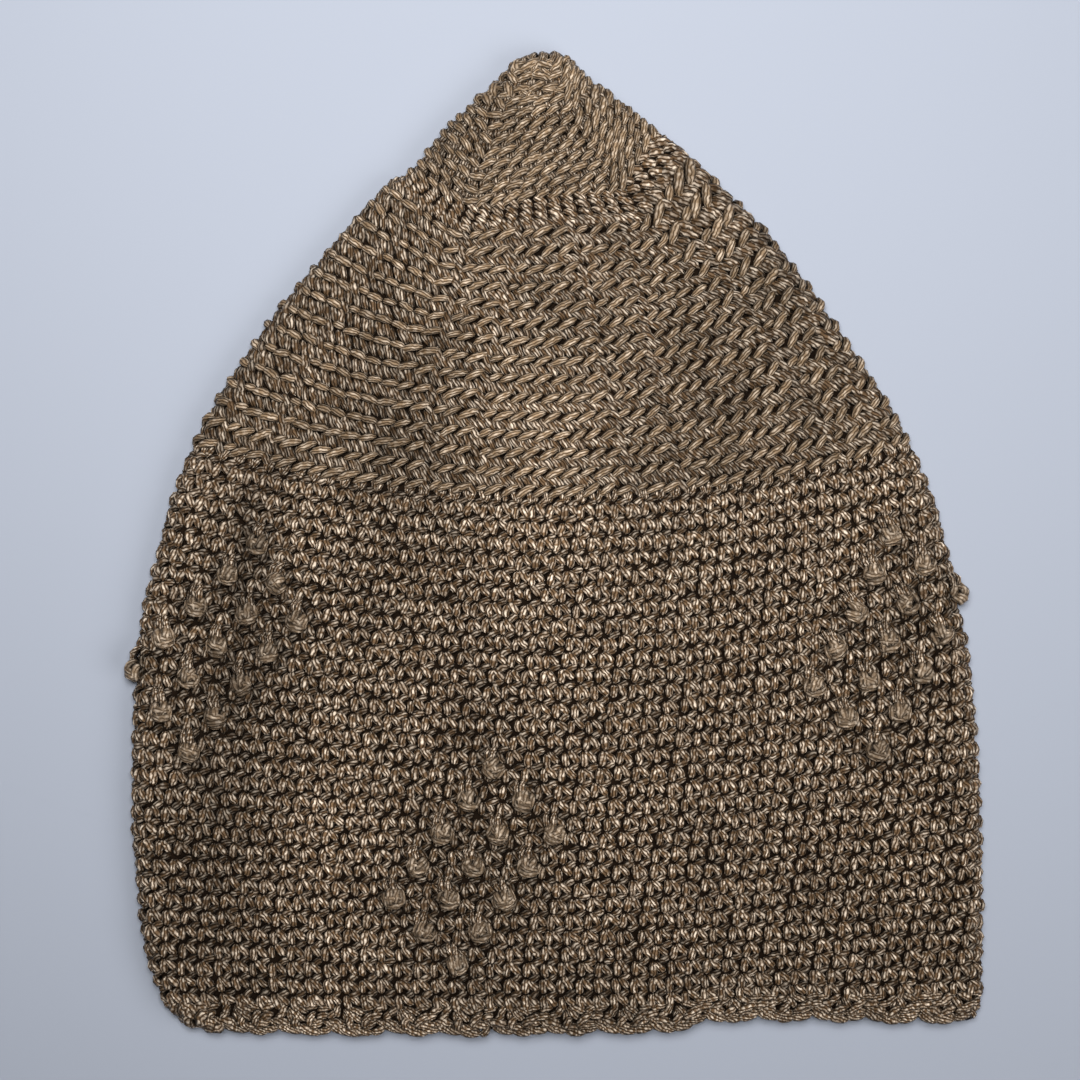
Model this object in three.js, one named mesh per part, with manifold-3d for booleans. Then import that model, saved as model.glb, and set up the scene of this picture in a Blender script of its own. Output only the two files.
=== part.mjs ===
// A crocheted prayer cap with a pointed crown, lying on its side and almost flat, as it is put away.
//
// The cap is a bag of thick crochet, open at the mouth: a pointed tip of close rounds, one round of
// tall stitches, a ridged crown that widens over seven sectors, a plain body with bobbles in three
// diamonds, and a scalloped edging. Millimetres. Z is up and the surface that the cap lies on is
// z = 0. The point of the cap is towards +Y and the mouth towards -Y. The origin is the middle of the
// cap's footprint.

import * as THREE from "three";
import { mergeVertices } from "three/addons/utils/BufferGeometryUtils.js";
import Module from "manifold-3d";

// Driving dimensions.
const WALL = 3.2; // thickness of the crocheted fabric
const EDGING_WALL = 2.8;
const FOLD_RADIUS = 4.6; // outside radius of the fold down each side
const PART_GAP = 0.3; // gap between one part of the fabric and the next
const BACK_SHORTER = 6; // the wall underneath ends this much further from the mouth
const BACK_SHORTER_REACH = 45; // and catches up over about this distance

// Where one kind of round gives way to the next, measured from the mouth along the middle of the cap.
const BODY_START = 9.5;
const CROWN_START = 152;
const TALL_START = 227.6;
const TIP_START = 235.6;
const POINT = 277;

// The gauge of the body: stitches in a round, height of a round, and how far a stitch sits to the
// right of the one nearer the mouth, in stitches.
const STITCHES = 90;
const ROUND_HEIGHT = 4.6;
const LEAN = 0.22;

// The flattened cap, a row for each section across it. along: distance from the mouth. left, right:
// where the two folds are. slope: how fast the round rises to the right. leftSag, rightSag: how much
// nearer the point the round is at that fold than in the middle. rise: height of the upper wall at
// its middle.
const SECTIONS = [
  { along: 0, left: -98, right: 119, slope: 0.015, leftSag: 2.0, rightSag: 2.0, rise: 13.5 },
  { along: 4.5, left: -107.5, right: 120, slope: 0.015, leftSag: 2.2, rightSag: 2.2, rise: 14 },
  { along: 9.5, left: -112.8, right: 120.2, slope: 0.014, leftSag: 2.3, rightSag: 2.3, rise: 14.5 },
  { along: 21, left: -117.2, right: 120.3, slope: 0.013, leftSag: 2.3, rightSag: 2.3, rise: 15.5 },
  { along: 38, left: -119.5, right: 120.3, slope: 0.011, leftSag: 2.6, rightSag: 2.6, rise: 17 },
  { along: 60, left: -120.3, right: 119.7, slope: 0.009, leftSag: 4.0, rightSag: 4.0, rise: 18.5 },
  { along: 94, left: -119.5, right: 116.8, slope: 0.006, leftSag: 9.1, rightSag: 9.1, rise: 20 },
  { along: 128, left: -112, right: 109.5, slope: 0.002, leftSag: 12.5, rightSag: 12.5, rise: 20 },
  { along: 152, left: -102.7, right: 99.9, slope: 0, leftSag: 14.7, rightSag: 14.7, rise: 20 },
  { along: 185, left: -80.6, right: 78.6, slope: 0, leftSag: 16.2, rightSag: 16.2, rise: 19 },
  { along: 196, left: -71.6, right: 70.4, slope: 0, leftSag: 16.2, rightSag: 17, rise: 18.4 },
  { along: 211, left: -59.9, right: 57.5, slope: 0.01, leftSag: 16.0, rightSag: 17.5, rise: 17.2 },
  { along: 227.6, left: -47.2, right: 37.8, slope: 0.05, leftSag: 15.1, rightSag: 18.9, rise: 15.5 },
  { along: 235.6, left: -41.2, right: 29.0, slope: 0.1, leftSag: 11.4, rightSag: 16.2, rise: 14.5 },
  { along: 251.6, left: -30.7, right: 17.7, slope: 0.1, leftSag: 6.9, rightSag: 10.4, rise: 12.5 },
  { along: 262, left: -23.4, right: 8.4, slope: 0.1, leftSag: 2.6, rightSag: 7.5, rise: 11.4 },
  { along: 269, left: -15.5, right: 5.5, slope: 0.1, leftSag: 1.6, rightSag: 4.0, rise: 10.4 },
  { along: 274, left: -11.8, right: 3.8, slope: 0.05, leftSag: 0.4, rightSag: 1.5, rise: 9.3 },
  { along: 276.4, left: -9.0, right: 2.4, slope: 0, leftSag: 0.1, rightSag: 0.3, rise: 8 },
];

// The rounds of the body are curved, and those of the tip are straight between two corners.
const LEFT_CORNER = 0.52; // how far out the left corner is, as a share of the half width
const RIGHT_CORNER = 0.7;
const CORNERS_FROM = 185; // the corners start to show here, and are full at TIP_START

// Soft furrows and swells of the upper wall. x: to the right of the middle. y: from the mouth.
// turn: degrees from the cap's axis. length, width: distance in which it fades, along and across.
const FOLDS = [
  { x: -36, y: 128, length: 40, width: 12, turn: 20, height: -3.2 },
  { x: -70, y: 120, length: 60, width: 15, turn: -3, height: 2.4 },
  { x: -99, y: 100, length: 75, width: 13, turn: -6, height: -2.2 },
  { x: 46, y: 140, length: 34, width: 20, turn: 12, height: -1.2 },
  { x: 62, y: 190, length: 42, width: 16, turn: -34, height: 1.4 },
];

// The diamonds of bobbles. stitch: counted to the right from the middle of the upper wall. round:
// counted from the first round of the body.
const DIAMONDS = [
  { name: "high_left", stitch: -22, round: 20 },
  { name: "low_middle", stitch: -6, round: 8 },
  { name: "high_right", stitch: 14, round: 20 },
];
const DIAMOND_LONG = 5; // bobbles along one side of a diamond
const DIAMOND_SHORT = 3; // and along the other
const BOBBLE_RADIUS = 3.3;
const BOBBLE_STRETCH = 1.15; // a bobble is this much longer across the round than along it
const BOBBLE_CENTRE = 0.3; // height of its centre above the outside of the fabric

// The edging.
const SCALLOPS = 30;
const SCALLOP_DEPTH = 2.0;

// Fineness of the faceted walls.
const FOLD_STEPS = 3; // steps in a quarter turn of a fold
const UPPER_STEPS = 20;
const LOWER_STEPS = 14;
const EDGING_UPPER_STEPS = 72;
const EDGING_LOWER_STEPS = 66;
const BOBBLE_STEPS = { round: 8, over: 4 };
const LOOP_SAMPLES = 60; // samples of one wall when a length round the cap is measured

const KHAKI = new THREE.Color(0.45, 0.37, 0.29);
const YARN_ROUGHNESS = 0.8;

// A smooth curve through one column of the section table, which never overshoots a row.
function column(name) {
  const x = SECTIONS.map((row) => row.along);
  const y = SECTIONS.map((row) => row[name]);
  const slope = x.slice(1).map((_, i) => (y[i + 1] - y[i]) / (x[i + 1] - x[i]));
  const tangent = y.map((_, i) => {
    if (i === 0) return slope[0];
    if (i === y.length - 1) return slope[i - 1];
    const product = slope[i - 1] * slope[i];
    return product <= 0 ? 0 : (2 * product) / (slope[i - 1] + slope[i]);
  });
  return (at) => {
    const beyond = x.findIndex((knot) => knot > at);
    const i = beyond < 0 ? x.length - 2 : Math.max(beyond - 1, 0);
    const step = x[i + 1] - x[i];
    const t = (at - x[i]) / step;
    const ease = t * t * (3 - 2 * t);
    const bend = t * (1 - t) * step * ((1 - t) * tangent[i] - t * tangent[i + 1]);
    return y[i] + (y[i + 1] - y[i]) * ease + bend;
  };
}

const leftAt = column("left");
const rightAt = column("right");
const slopeAt = column("slope");
const leftSagAt = column("leftSag");
const rightSagAt = column("rightSag");
const riseAt = column("rise");

function smoothStep(value) {
  const t = THREE.MathUtils.clamp(value, 0, 1);
  return t * t * (3 - 2 * t);
}

// How much nearer the point a round is at a place across the cap than in the middle: a parabola in
// the body, and straight lines with corners in the tip. across: from -1 to 1 between the folds.
function sagHere(across, along) {
  const out = Math.abs(across);
  const corner = across < 0 ? LEFT_CORNER : RIGHT_CORNER;
  const curved = out * out;
  const cornered = Math.max(0, (out - corner) / (1 - corner));
  const share = smoothStep((along - CORNERS_FROM) / (TIP_START - CORNERS_FROM));
  const sag = across < 0 ? leftSagAt(along) : rightSagAt(along);
  return sag * (curved + (cornered - curved) * share);
}

// Height of the furrows and swells at a place on the upper wall.
function foldHeight(x, y) {
  return FOLDS.reduce((sum, fold) => {
    const turn = THREE.MathUtils.degToRad(fold.turn);
    const dx = x - fold.x;
    const dy = y - fold.y;
    const lengthwise = (dy * Math.cos(turn) - dx * Math.sin(turn)) / fold.length;
    const crosswise = (dx * Math.cos(turn) + dy * Math.sin(turn)) / fold.width;
    return sum + fold.height * Math.exp(-lengthwise * lengthwise - crosswise * crosswise);
  }, 0);
}

// The folds' places, and the radius that the fold has there.
function sectionAt(along) {
  const left = leftAt(along);
  const right = rightAt(along);
  const half = (right - left) / 2;
  const fold = Math.min(FOLD_RADIUS, half * 0.9);
  return { middle: (right + left) / 2, half, fold, flat: half - fold };
}

// A point of the fabric. side and value give the place round the cap: "upper" and "lower" with the
// share across the flat part, from -1 to 1, and "left" and "right" with the turn round that fold, in
// radians from level. inset: depth below the outside of the fabric.
function fabricPoint(along, { side, value }, inset) {
  const { middle, half, fold, flat } = sectionAt(along);
  const onFold = side === "left" || side === "right";
  const direction = side === "left" ? -1 : 1;
  const crown = onFold ? 0 : (1 - value * value) ** 2;
  let x = middle + flat * value;
  let z = side === "upper" ? 2 * fold - inset : inset;
  if (onFold) {
    x = middle + direction * (flat + (fold - inset) * Math.cos(value));
    z = fold + (fold - inset) * Math.sin(value);
  }
  const across = THREE.MathUtils.clamp((x - middle) / half, -1, 1);
  let y = along + sagHere(across, along) + slopeAt(along) * (x - middle);
  if (side === "upper") {
    z += crown * (riseAt(along) - 2 * fold) + Math.sqrt(crown) * foldHeight(x, y);
  }
  if (side === "lower") {
    y += BACK_SHORTER * Math.sqrt(crown) * Math.exp(-along / BACK_SHORTER_REACH);
  }
  return new THREE.Vector3(x, y, z);
}

// The places round a section, from the left fold over the upper wall to the right and back below.
function placesRound(upperSteps, lowerSteps, foldSteps) {
  const quarter = Math.PI / 2;
  const run = (side, from, to, steps) =>
    Array.from({ length: steps }, (_, i) => ({ side, value: from + ((to - from) * i) / steps }));
  return [
    ...run("left", 0, quarter, foldSteps),
    ...run("upper", -1, 1, upperSteps),
    ...run("right", quarter, -quarter, 2 * foldSteps),
    ...run("lower", 1, -1, lowerSteps),
    ...run("left", -quarter, 0, foldSteps),
  ];
}

// The point that lies a share of the way round the cap, measured along the fabric.
function pointAtShare(along, share) {
  const places = placesRound(LOOP_SAMPLES, LOOP_SAMPLES, FOLD_STEPS * 2);
  const points = places.map((place) => fabricPoint(along, place, 0));
  const next = (i) => points[(i + 1) % points.length];
  const steps = points.map((point, i) => point.distanceTo(next(i)));
  const total = steps.reduce((a, b) => a + b, 0);
  let rest = THREE.MathUtils.euclideanModulo(share, 1) * total;
  let i = 0;
  while (rest > steps[i]) {
    rest -= steps[i];
    i += 1;
  }
  return points[i].clone().lerp(next(i), rest / steps[i]);
}

// One wall surface of a band of fabric, as rings of vertices from the mouth towards the point.
function addRings(positions, { stations, places, inset, wave }) {
  return stations.map((along, row) => {
    const first = positions.length / 3;
    places.forEach((place, i) => {
      const point = fabricPoint(along + (row === 0 ? wave(i) : 0), place, inset);
      positions.push(point.x, point.y, point.z);
    });
    return first;
  });
}

// The vertex that closes the point of the cap, beyond the last ring.
function addPole(positions, lastAlong, poleAlong) {
  const { middle, fold } = sectionAt(lastAlong);
  positions.push(middle, poleAlong, fold);
  return positions.length / 3 - 1;
}

// A closed band of fabric. outer, inner: distances along the cap of the rings of its two surfaces.
// poles: where the outer and inner surface close beyond their last rings, if they do. wave: how far
// the edge at the mouth is drawn back at each place.
function band({ outer, inner = outer, places, wall, poles = null, wave = () => 0 }) {
  const positions = [];
  const index = [];
  const count = places.length;
  const next = (i) => (i + 1) % count;
  const outerRings = addRings(positions, { stations: outer, places, inset: 0, wave });
  const innerRings = addRings(positions, { stations: inner, places, inset: wall, wave });
  const quads = (lower, upper) => {
    for (let i = 0; i < count; i++) {
      index.push(lower + i, lower + next(i), upper + next(i));
      index.push(lower + i, upper + next(i), upper + i);
    }
  };
  outerRings.slice(1).forEach((ring, row) => quads(outerRings[row], ring));
  innerRings.slice(1).forEach((ring, row) => quads(ring, innerRings[row]));
  quads(innerRings[0], outerRings[0]);
  if (poles) {
    const outerPole = addPole(positions, outer.at(-1), poles.outer);
    const innerPole = addPole(positions, inner.at(-1), poles.inner);
    for (let i = 0; i < count; i++) {
      index.push(outerRings.at(-1) + i, outerRings.at(-1) + next(i), outerPole);
      index.push(innerRings.at(-1) + next(i), innerRings.at(-1) + i, innerPole);
    }
  } else {
    quads(outerRings.at(-1), innerRings.at(-1));
  }
  const geometry = new THREE.BufferGeometry();
  geometry.setAttribute("position", new THREE.Float32BufferAttribute(positions, 3));
  geometry.setIndex(index);
  return geometry;
}

// Even steps between two distances along the cap.
function evenly(from, to, steps) {
  return Array.from({ length: steps + 1 }, (_, i) => from + ((to - from) * i) / steps);
}

const wasm = await Module();
wasm.setup();

function toSolid(geometry) {
  const bare = geometry.clone();
  bare.deleteAttribute("normal");
  bare.deleteAttribute("uv");
  const merged = mergeVertices(bare);
  const vertProperties = new Float32Array(merged.attributes.position.array);
  const triVerts = new Uint32Array(merged.index.array);
  return new wasm.Manifold(new wasm.Mesh({ numProp: 3, vertProperties, triVerts }));
}

function toGeometry(solid) {
  const mesh = solid.getMesh();
  const geometry = new THREE.BufferGeometry();
  geometry.setAttribute("position", new THREE.Float32BufferAttribute(mesh.vertProperties, 3));
  geometry.setIndex(new THREE.Uint32BufferAttribute(mesh.triVerts, 1));
  return geometry;
}

// Where the bobbles of a diamond are. One step of either side of the diamond goes down two rounds,
// and one stitch to the left or two to the right, because the stitches themselves lean.
function bobblesOf(diamond) {
  const found = [];
  for (let long = 0; long < DIAMOND_LONG; long++) {
    for (let short = 0; short < DIAMOND_SHORT; short++) {
      const left = long - (DIAMOND_LONG - 1) / 2;
      const right = short - (DIAMOND_SHORT - 1) / 2;
      found.push({
        stitch: diamond.stitch + 2 * right - left,
        round: diamond.round - 2 * (left + right),
      });
    }
  }
  return found;
}

// One bobble: a knob of stitches half sunk in the fabric.
function bobble({ stitch, round }) {
  const along = BODY_START + (round + 0.5) * ROUND_HEIGHT;
  const share = 0.25 + (stitch + LEAN * round) / STITCHES;
  const near = 0.5 / STITCHES;
  const sideways = pointAtShare(along, share + near).sub(pointAtShare(along, share - near));
  const upwards = pointAtShare(along + 1, share).sub(pointAtShare(along - 1, share));
  const outwards = sideways.normalize().clone().cross(upwards).normalize();
  upwards.copy(outwards).cross(sideways);
  const knob = new THREE.SphereGeometry(BOBBLE_RADIUS, BOBBLE_STEPS.round, BOBBLE_STEPS.over);
  knob.scale(1, BOBBLE_STRETCH, 1);
  knob.applyMatrix4(new THREE.Matrix4().makeBasis(sideways, upwards, outwards));
  const centre = pointAtShare(along, share).addScaledVector(outwards, BOBBLE_CENTRE);
  return toSolid(knob.translate(centre.x, centre.y, centre.z));
}

const halfGap = PART_GAP / 2;
const places = placesRound(UPPER_STEPS, LOWER_STEPS, FOLD_STEPS);
const pieces = {};

// The pointed tip, hollow to within a wall's thickness of the point.
pieces.crown_tip = band({
  outer: [...evenly(TIP_START + halfGap, 269, 4), 274, SECTIONS.at(-1).along],
  inner: [...evenly(TIP_START + halfGap, 269, 4)],
  poles: { outer: POINT, inner: POINT - 1.5 * WALL },
  places,
  wall: WALL,
});

// One round of tall stitches under the tip.
pieces.tall_round = band({
  outer: evenly(TALL_START + halfGap, TIP_START - halfGap, 1),
  places,
  wall: WALL,
});

// The ridged rounds, which widen from the tip to the full width of the cap.
pieces.ridged_crown = band({
  outer: evenly(CROWN_START + halfGap, TALL_START - halfGap, 5),
  places,
  wall: WALL,
});

// The straight part of the cap, with its bobbles worked in the same yarn.
const plainBody = band({
  outer: [BODY_START + halfGap, 21, 38, 55, 72, 90, 108, 124, 138, CROWN_START - halfGap],
  places,
  wall: WALL,
});
const bobbles = DIAMONDS.flatMap(bobblesOf).map(bobble);
pieces.bobbled_body = toGeometry(bobbles.reduce((sum, knob) => sum.add(knob), toSolid(plainBody)));

// The edging round the mouth, with shallow scallops.
const edgingPlaces = placesRound(EDGING_UPPER_STEPS, EDGING_LOWER_STEPS, FOLD_STEPS);
pieces.scalloped_edging = band({
  outer: evenly(0, BODY_START - halfGap, 1),
  places: edgingPlaces,
  wall: EDGING_WALL,
  wave: (i) => {
    const turn = (Math.PI * SCALLOPS * i) / edgingPlaces.length;
    return SCALLOP_DEPTH * (1 - Math.abs(Math.sin(turn)));
  },
});

const cap = new THREE.Group();
for (const [name, geometry] of Object.entries(pieces)) {
  const material = new THREE.MeshStandardMaterial({
    color: KHAKI,
    roughness: YARN_ROUGHNESS,
    metalness: 0,
  });
  const mesh = new THREE.Mesh(geometry, material);
  mesh.name = name;
  cap.add(mesh);
}

// Put the middle of the footprint at the origin, on the surface.
const bounds = new THREE.Box3().setFromObject(cap);
const footprint = bounds.getCenter(new THREE.Vector3()).setZ(bounds.min.z);
cap.children.forEach((mesh) => mesh.position.copy(footprint).negate());

export default cap;
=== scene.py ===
# %% [markdown]
# # A crocheted prayer cap, lying flat
# The cap is crocheted from one thick cotton yarn, in rounds, from the point down to the mouth. Put
# down, it is a soft bag of two walls with a fold down each side. The looks of such a thing are its
# stitches, so this lesson models the yarn of each stitch as short closed strands that lie on the
# cap's surface. The solids of the cap are loaded first, and every stitch is placed by them.

import math

import bpy
import numpy as np
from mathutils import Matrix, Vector


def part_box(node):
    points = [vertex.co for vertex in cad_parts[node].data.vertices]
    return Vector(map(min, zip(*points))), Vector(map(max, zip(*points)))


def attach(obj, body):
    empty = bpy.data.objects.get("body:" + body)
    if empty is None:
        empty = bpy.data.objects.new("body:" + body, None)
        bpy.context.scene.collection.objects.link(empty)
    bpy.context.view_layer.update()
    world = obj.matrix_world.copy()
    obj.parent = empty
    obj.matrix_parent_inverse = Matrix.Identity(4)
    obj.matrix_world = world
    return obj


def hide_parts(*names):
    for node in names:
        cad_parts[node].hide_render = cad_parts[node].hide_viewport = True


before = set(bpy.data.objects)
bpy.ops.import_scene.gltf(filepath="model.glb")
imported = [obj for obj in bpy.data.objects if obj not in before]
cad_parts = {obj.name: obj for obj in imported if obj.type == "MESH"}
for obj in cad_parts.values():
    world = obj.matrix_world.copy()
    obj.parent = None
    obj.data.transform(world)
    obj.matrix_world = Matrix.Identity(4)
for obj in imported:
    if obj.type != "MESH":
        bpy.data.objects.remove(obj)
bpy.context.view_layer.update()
MM = 0.001
draw = np.random.default_rng(20)
print("solids:", sorted(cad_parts))

# %% [markdown]
# ## The surface that the stitches lie on
# A flattened cap is a stack of flat rings. Each ring is two walls joined by half-round folds, and it
# narrows towards the point. A short table like the one that shaped the solids gives the ring at any
# distance from the mouth: where the two folds are, how the round slopes and sags, and how high the
# upper wall stands. A smooth curve through each column fills the space between the rows.

# %% The sections of the cap
SECTION_COLUMNS = ("along", "left", "right", "slope", "left_sag", "right_sag", "rise")
SECTIONS = (
    (0, -97, 119, 0.015, 2.0, 2.0, 10.0),
    (4.5, -106, 120, 0.015, 2.2, 2.2, 10.7),
    (9.5, -110.7, 120.6, 0.014, 2.3, 2.3, 11.6),
    (21, -115.2, 120.8, 0.013, 2.3, 2.3, 13.8),
    (38, -117.6, 120.8, 0.011, 2.6, 2.6, 16.5),
    (60, -119.2, 120.2, 0.009, 4.0, 4.0, 18.5),
    (94, -118.5, 117.3, 0.006, 9.1, 9.1, 20),
    (128, -111, 110.0, 0.002, 12.5, 12.5, 20),
    (152, -101.9, 100.4, 0, 14.7, 14.7, 20),
    (185, -80.6, 78.6, 0, 16.2, 16.2, 19),
    (196, -71.6, 70.4, 0, 16.2, 17, 18.4),
    (211, -59.9, 57.5, 0.01, 16.0, 17.5, 17.2),
    (227.6, -47.2, 37.8, 0.05, 15.1, 18.9, 15.5),
    (235.6, -41.2, 29.0, 0.1, 11.4, 16.2, 14.5),
    (251.6, -30.7, 17.7, 0.1, 6.9, 10.4, 12.5),
    (262, -23.4, 8.4, 0.1, 2.6, 7.5, 11.4),
    (269, -15.5, 5.5, 0.1, 1.6, 4.0, 10.4),
    (274, -11.8, 3.8, 0.05, 0.4, 1.5, 9.3),
    (276.4, -9.0, 2.4, 0, 0.1, 0.3, 8),
)
section = dict(zip(SECTION_COLUMNS, np.array(SECTIONS, float).T))
BODY_START, CROWN_START, TALL_START, TIP_START = 9.5, 152.0, 227.6, 235.6
CAP_END, POINT = 276.4, 277.0


def smooth_column(name, at):
    """A curve through one column of the table. Between two rows it is a cubic, whose slope at a row
    is the harmonic mean of the slopes on either side, or zero where their signs differ."""
    x, y = section["along"], section[name]
    step = np.diff(x)
    slope = np.diff(y) / step
    product = slope[:-1] * slope[1:]
    total = np.where(product > 0, slope[:-1] + slope[1:], 1)
    inner = np.where(product > 0, 2 * product / total, 0)
    tangent = np.concatenate([slope[:1], inner, slope[-1:]])
    i = np.clip(np.searchsorted(x, at, side="right") - 1, 0, len(x) - 2)
    t = (at - x[i]) / step[i]
    bend = t * (1 - t) * step[i] * ((1 - t) * tangent[i] - t * tangent[i + 1])
    return y[i] + (y[i + 1] - y[i]) * t * t * (3 - 2 * t) + bend


def smooth_step(value):
    """Rises from 0 to 1 as three times the square less twice the cube."""
    t = np.clip(value, 0, 1)
    return t * t * (3 - 2 * t)


# %% [markdown]
# ## Furrows, sags and folds
# Soft cotton never lies quite flat. A few long furrows and swells run down the upper wall, each a
# hump that fades along and across itself. The rounds sag towards the mouth in the middle, in a
# curve in the body and in straight lines with two corners in the stiff tip. Right of the middle the
# mouth's edge steps up a little.

# %% The furrows and the rings
# Each band has its x, y, length, width, turn in degrees and amount.
FURROWS = (
    (-36, 128, 45, 13, 20, -5.5),
    (-72, 122, 60, 15, -3, 4.5),
    (-99, 100, 75, 12, -6, -3.5),
    (2, 140, 80, 17, 2, 3.0),
    (46, 140, 34, 16, 12, -2.4),
    (62, 190, 42, 16, -34, 2.6),
)
FOLD_RADIUS, MOST_FOLD = 4.6, 0.9
BACK_SHORTER, BACK_SHORTER_REACH = 6.0, 45.0
LEFT_CORNER, RIGHT_CORNER, CORNERS_FROM = 0.52, 0.70, 185.0
FOLD_SAMPLES, WALL_SAMPLES = 16, 200
STEP_UP, STEP_REACH = 2.6, 12.0
STEP_FROM, STEP_RISE, STEP_UNTIL, STEP_FALL = 30.0, 14.0, 112.0, 50.0


def soft_bands(bands, x, y):
    """The sum over the bands of amount times exp(-(lengthwise/length)^2 - (crosswise/width)^2)."""
    total = 0
    for band_x, band_y, length, width, turn, amount in bands:
        angle = math.radians(turn)
        dx, dy = x - band_x, y - band_y
        lengthwise = (dy * math.cos(angle) - dx * math.sin(angle)) / length
        crosswise = (dx * math.cos(angle) + dy * math.sin(angle)) / width
        total = total + amount * np.exp(-lengthwise ** 2 - crosswise ** 2)
    return total


def sag_of(across, along):
    """How much nearer the point a round is at this place than in the middle: a parabola in the
    body, and a straight line beyond a corner in the tip."""
    out = np.abs(across)
    corner = np.where(across < 0, LEFT_CORNER, RIGHT_CORNER)
    cornered = np.maximum(0, (out - corner) / (1 - corner))
    share = smooth_step((along - CORNERS_FROM) / (TIP_START - CORNERS_FROM))
    sag = np.where(across < 0, smooth_column("left_sag", along), smooth_column("right_sag", along))
    return sag * (out ** 2 + (cornered - out ** 2) * share)


def rings(along):
    """Points round the cap, a row for each distance along it: from the left fold's level over the
    upper wall, round the right fold and back along the lower wall. A wall's x is middle + flat *
    value, and its height is (1 - value^2)^2 of the rise. A fold goes round a half circle."""
    quarter = np.linspace(0, math.pi / 2, FOLD_SAMPLES, endpoint=False)
    wall = np.linspace(-1, 1, WALL_SAMPLES, endpoint=False)
    half_turn = np.linspace(math.pi / 2, -math.pi / 2, 2 * FOLD_SAMPLES, endpoint=False)
    value = np.concatenate([quarter, wall, half_turn, -wall, quarter - math.pi / 2])
    counts = (FOLD_SAMPLES, WALL_SAMPLES, 2 * FOLD_SAMPLES, WALL_SAMPLES, FOLD_SAMPLES)
    side = np.repeat((-1, 0, 1, 0, -1), counts)
    layer = np.repeat((0, 1, 0, -1, 0), counts)
    along = np.asarray(along, float)[:, None]
    left, right = smooth_column("left", along), smooth_column("right", along)
    middle, half = (left + right) / 2, (right - left) / 2
    fold = np.minimum(FOLD_RADIUS, MOST_FOLD * half)
    flat = half - fold
    crown = np.where(side == 0, (1 - value ** 2) ** 2, 0)
    x = np.where(side == 0, middle + flat * value, middle + side * (flat + fold * np.cos(value)))
    z = np.where(side == 0, np.where(layer > 0, 2 * fold, 0), fold + fold * np.sin(value))
    across = np.clip((x - middle) / half, -1, 1)
    step = smooth_step((x - STEP_FROM) / STEP_RISE) * smooth_step((STEP_UNTIL - x) / STEP_FALL)
    y = along + sag_of(across, along) + smooth_column("slope", along) * (x - middle)
    y = y + STEP_UP * step * np.exp(-(along / STEP_REACH) ** 2)
    lift = crown * (smooth_column("rise", along) - 2 * fold) + np.sqrt(crown) * soft_bands(FURROWS, x, y)
    z = z + np.where(layer > 0, lift, 0)
    y = y + np.where(layer < 0, BACK_SHORTER * np.sqrt(crown) * np.exp(-along / BACK_SHORTER_REACH), 0)
    return np.stack([x, y, z], axis=-1)


# %% [markdown]
# ## A map from fabric to space
# Crochet is counted in stitches and rounds, so the stitches are laid out on the fabric: a distance
# from the mouth, a share of the way round, and a height above the surface. The rings are sampled
# once into a fine table with even steps round the cap. Any array of fabric places then becomes
# points in space in one go, by blending the four nearest entries. Where the upper wall is steep the
# rounds lie further apart, and a second table says by how much, because the strands fill out there.

# %% The table of the surface
ROW_STEP, SHARES = 0.4, 1200


def evenly_round(points):
    """The rings again, with samples at equal lengths along each ring."""
    closed = np.concatenate([points, points[:, :1]], axis=1)
    steps = np.linalg.norm(np.diff(closed, axis=1), axis=2)
    run = np.concatenate([np.zeros((len(points), 1)), np.cumsum(steps, axis=1)], axis=1)
    wanted = np.linspace(0, 1, SHARES, endpoint=False)
    even = [[np.interp(wanted * r[-1], r, c) for c in ring.T] for ring, r in zip(closed, run)]
    return np.transpose(even, (0, 2, 1)), run[:, -1]


table_rows = np.arange(0, CAP_END + ROW_STEP / 2, ROW_STEP)
surface, ring_girth = evenly_round(rings(table_rows))
around = (np.roll(surface, -1, axis=1) - np.roll(surface, 1, axis=1)) / 2
upward = np.gradient(surface, axis=0)
outward = np.cross(around, upward)
area, side = (np.linalg.norm(vectors, axis=2, keepdims=True) for vectors in (outward, around))
row_gap = area / side / ROW_STEP
outward /= area


def girth(along):
    """Length once round the cap."""
    return np.interp(along, table_rows, ring_girth)


print("girth 0, 100 and 200 mm from the mouth:", girth([0, 100, 200]).round(1))


def blend(table, along, share):
    """Bilinear blend of the table at a distance along the cap and a share of the way round."""
    row = np.asarray(along) / ROW_STEP
    low = np.clip(np.floor(row).astype(int), 0, len(table) - 2)
    t = (row - low)[..., None]
    column = np.mod(share, 1) * SHARES
    first = np.floor(column).astype(int) % SHARES
    second = (first + 1) % SHARES
    u = (column - np.floor(column))[..., None]
    near = table[low, first] * (1 - u) + table[low, second] * u
    far = table[low + 1, first] * (1 - u) + table[low + 1, second] * u
    return near * (1 - t) + far * t


SKIN, UNDERSIDE_BLEND = 0.8, 1.4


def on_cap(along, share, height, radius=0.0):
    """A point above the fabric and the normal there: surface + (height - skin) * normal. On the wall
    underneath no strand stands lower than the surface that the cap lies on."""
    normal = blend(outward, along, share)
    normal = normal / np.linalg.norm(normal, axis=-1, keepdims=True)
    height = height - SKIN
    underneath = smooth_step(-normal[..., 2] * UNDERSIDE_BLEND)
    height = height + underneath * (np.minimum(height, -radius) - height)
    return blend(surface, along, share) + height[..., None] * normal, normal


# %% [markdown]
# ## Where the cap is
# The table is in millimetres from the middle of the mouth. Two of the solids' boxes tell where that
# is in the shared frame: the tip's far end is the point, and the crown's box is centred on its
# widest ring.

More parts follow.
